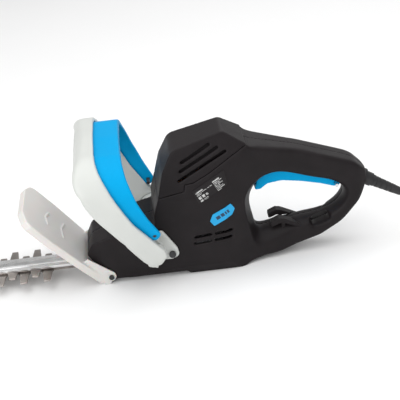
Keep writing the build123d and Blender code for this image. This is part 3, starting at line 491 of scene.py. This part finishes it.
def lathe(name, rings, segments=40):
    """Turned piece on the cord's exit axis: rings are (distance, radius), in millimetres."""
    bpy.ops.object.select_all(action="DESELECT")
    start, radius = rings[0]
    bpy.ops.mesh.primitive_circle_add(vertices=segments, radius=radius * MM, location=(0, 0, start * MM))
    piece = bpy.context.object
    piece.name = name
    bpy.ops.object.transform_apply(location=True, rotation=True, scale=True)
    bpy.ops.object.mode_set(mode="EDIT")
    bpy.ops.mesh.select_all(action="SELECT")
    for (before, old), (after, new) in zip(rings, rings[1:]):
        bpy.ops.mesh.extrude_region_move(TRANSFORM_OT_translate={"value": (0, 0, (after - before) * MM)})
        scale = new / old
        bpy.ops.transform.resize(value=(scale, scale, 1), center_override=(0, 0, after * MM))
    bpy.ops.mesh.select_all(action="SELECT")
    bpy.ops.mesh.normals_make_consistent(inside=False)
    bpy.ops.object.mode_set(mode="OBJECT")
    axis = Vector((math.cos(DROP), 0, -math.sin(DROP)))
    across = Vector((0, 1, 0))
    turn = Matrix((across.cross(axis), across, axis)).transposed().to_4x4()
    piece.data.transform(Matrix.Translation(EXIT) @ turn)
    only(piece)
    bpy.ops.object.shade_smooth_by_angle(angle=math.radians(35.0))
    return piece


def add_sleeve(material):
    """Ribbed bend protector, open at both ends round the cord."""
    rings = [(8.1, 4.2), (8.1, 6.3), (9.0, 6.8), (12.0, 6.8), (12.8, 6.4)]
    outer = 6.4
    distance = 12.8
    for _ in range(SLEEVE_RIBS):
        rings += [(distance + 0.2, outer - 0.5), (distance + 1.4, outer - 0.5), (distance + 1.7, outer - 0.1),
                  (distance + 2.2, outer), (distance + 6.4, outer - 0.2),
                  (distance + RIB_PITCH, outer - 0.35)]
        distance += RIB_PITCH
        outer -= 0.30
    rings += [(distance + 4.0, 4.95), (distance + 8.6, 4.8), (distance + 9.4, 4.5), (49.9, 4.15), (24.0, 4.1),
              (8.1, 4.2)]
    sleeve = lathe("cord_sleeve", rings)
    return fitted(sleeve, "strain_relief", material)


# ---------------------------------------------------------------- assembly
def off_seam(co):
    """0 where the two halves of the housing meet, so that they stay flush."""
    return step(abs(co.y), 0.0012, 0.0032)


def grip(co):
    """1 in the rear handle, 0 in the body."""
    return step(co.x, 0.056, 0.078) * off_seam(co)


def handle_front(co):
    """1 along the front of the front handle, 0 near the blue bow."""
    parting = -0.039 - 0.60 * max(0.0, co.z - 0.057)
    return step(parting - co.x, 0.006, 0.016) * step(co.z, 0.036, 0.095)


def add_mouldings(black, grey, blue, guard):
    for side in ("left_housing", "right_housing"):
        fitted(moulded(side, 1.05 * MM, (4, off_seam), (110, grip)), side, black)
    fitted(moulded("motor_cowl", 0.9 * MM, 7), "motor_cowl", black)
    fitted(moulded("cable_hooks", 0.7 * MM, 3), "cable_hooks", black)
    fitted(moulded("front_handle_shell", 1.1 * MM, 10, (150, handle_front)), "front_handle_shell", grey)
    fitted(moulded("front_handle_liner", 0.9 * MM, 2, (150, handle_front)), "front_handle_liner", grey)
    fitted(moulded("front_switch_bow", 0.9 * MM, 8), "front_switch_bow", blue)
    fitted(moulded("trigger", 0.7 * MM, 10), "trigger", blue)
    fitted(moulded("hand_guard", 0.8 * MM, 8), "hand_guard", guard)


def add_machined(steel, bar):
    for node in ("upper_blade", "lower_blade"):
        fitted(eased(node, 0.45 * MM), node, steel)
    fitted(eased("guide_bar", 0.4 * MM), "guide_bar", bar)


def wear(node, material):
    """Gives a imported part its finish."""
    materials = frame["nodes"][node].data.materials
    materials.clear()
    materials.append(material)


def dress_inside(finishes):
    """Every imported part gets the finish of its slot."""
    for node, slot in SLOT_OF.items():
        wear(node, finishes[slot])


black = black_plastic()
grey = satin_plastic("grey_plastic", GREY, 0.36, GREY_FLOW, 0.4)
blue = satin_plastic("blue_plastic", BLUE, 0.48, BLUE_FLOW, 0.07)
milky = guard_plastic()
blade_steel = ground_steel("blade_steel", (0.36, 0.33, 0.31), 0.40, (0.2, 4.0, 4.0))
bar_metal = ground_steel("bar_metal", (0.80, 0.80, 0.80), 0.30, (0.1, 3.0, 3.0), 0.4)
soft_rubber = rubber()
finishes = {
    "black_plastic": black, "grey_plastic": grey, "guard_plastic": milky, "blue_plastic": blue,
    "blade_steel": blade_steel, "aluminium": bar_metal, "die_cast": cast_metal(),
    "steel": ground_steel("turned_steel", (0.55, 0.55, 0.56), 0.30, (1.0, 1.0, 4.0)),
    "zinc_steel": plain_part("zinc_steel", (0.07, 0.07, 0.072), 0.42, 1.0),
    "iron": laminated_iron(), "copper": copper_wire(), "rubber": soft_rubber, "felt": felt(),
    "brass": plain_part("brass", (0.68, 0.48, 0.20), 0.32, 1.0),
    "carbon": plain_part("carbon", (0.035, 0.035, 0.037), 0.55),
    "nylon": plain_part("nylon", (0.03, 0.03, 0.032), 0.5),
    "label": label_film(),
}

add_camera()
floor = add_studio()
floor.data.materials.append(floor_finish())
cord = add_cord(soft_rubber)
sleeve = add_sleeve(soft_rubber)
plug = fitted(moulded("plug_body", 0.7 * MM, 8), "plug_body", soft_rubber)
dress_inside(finishes)
add_mouldings(black, grey, blue, milky)
add_machined(blade_steel, bar_metal)
wear("side_badges", badge_film())
wear("bow_pivot_pins", finishes["nylon"])
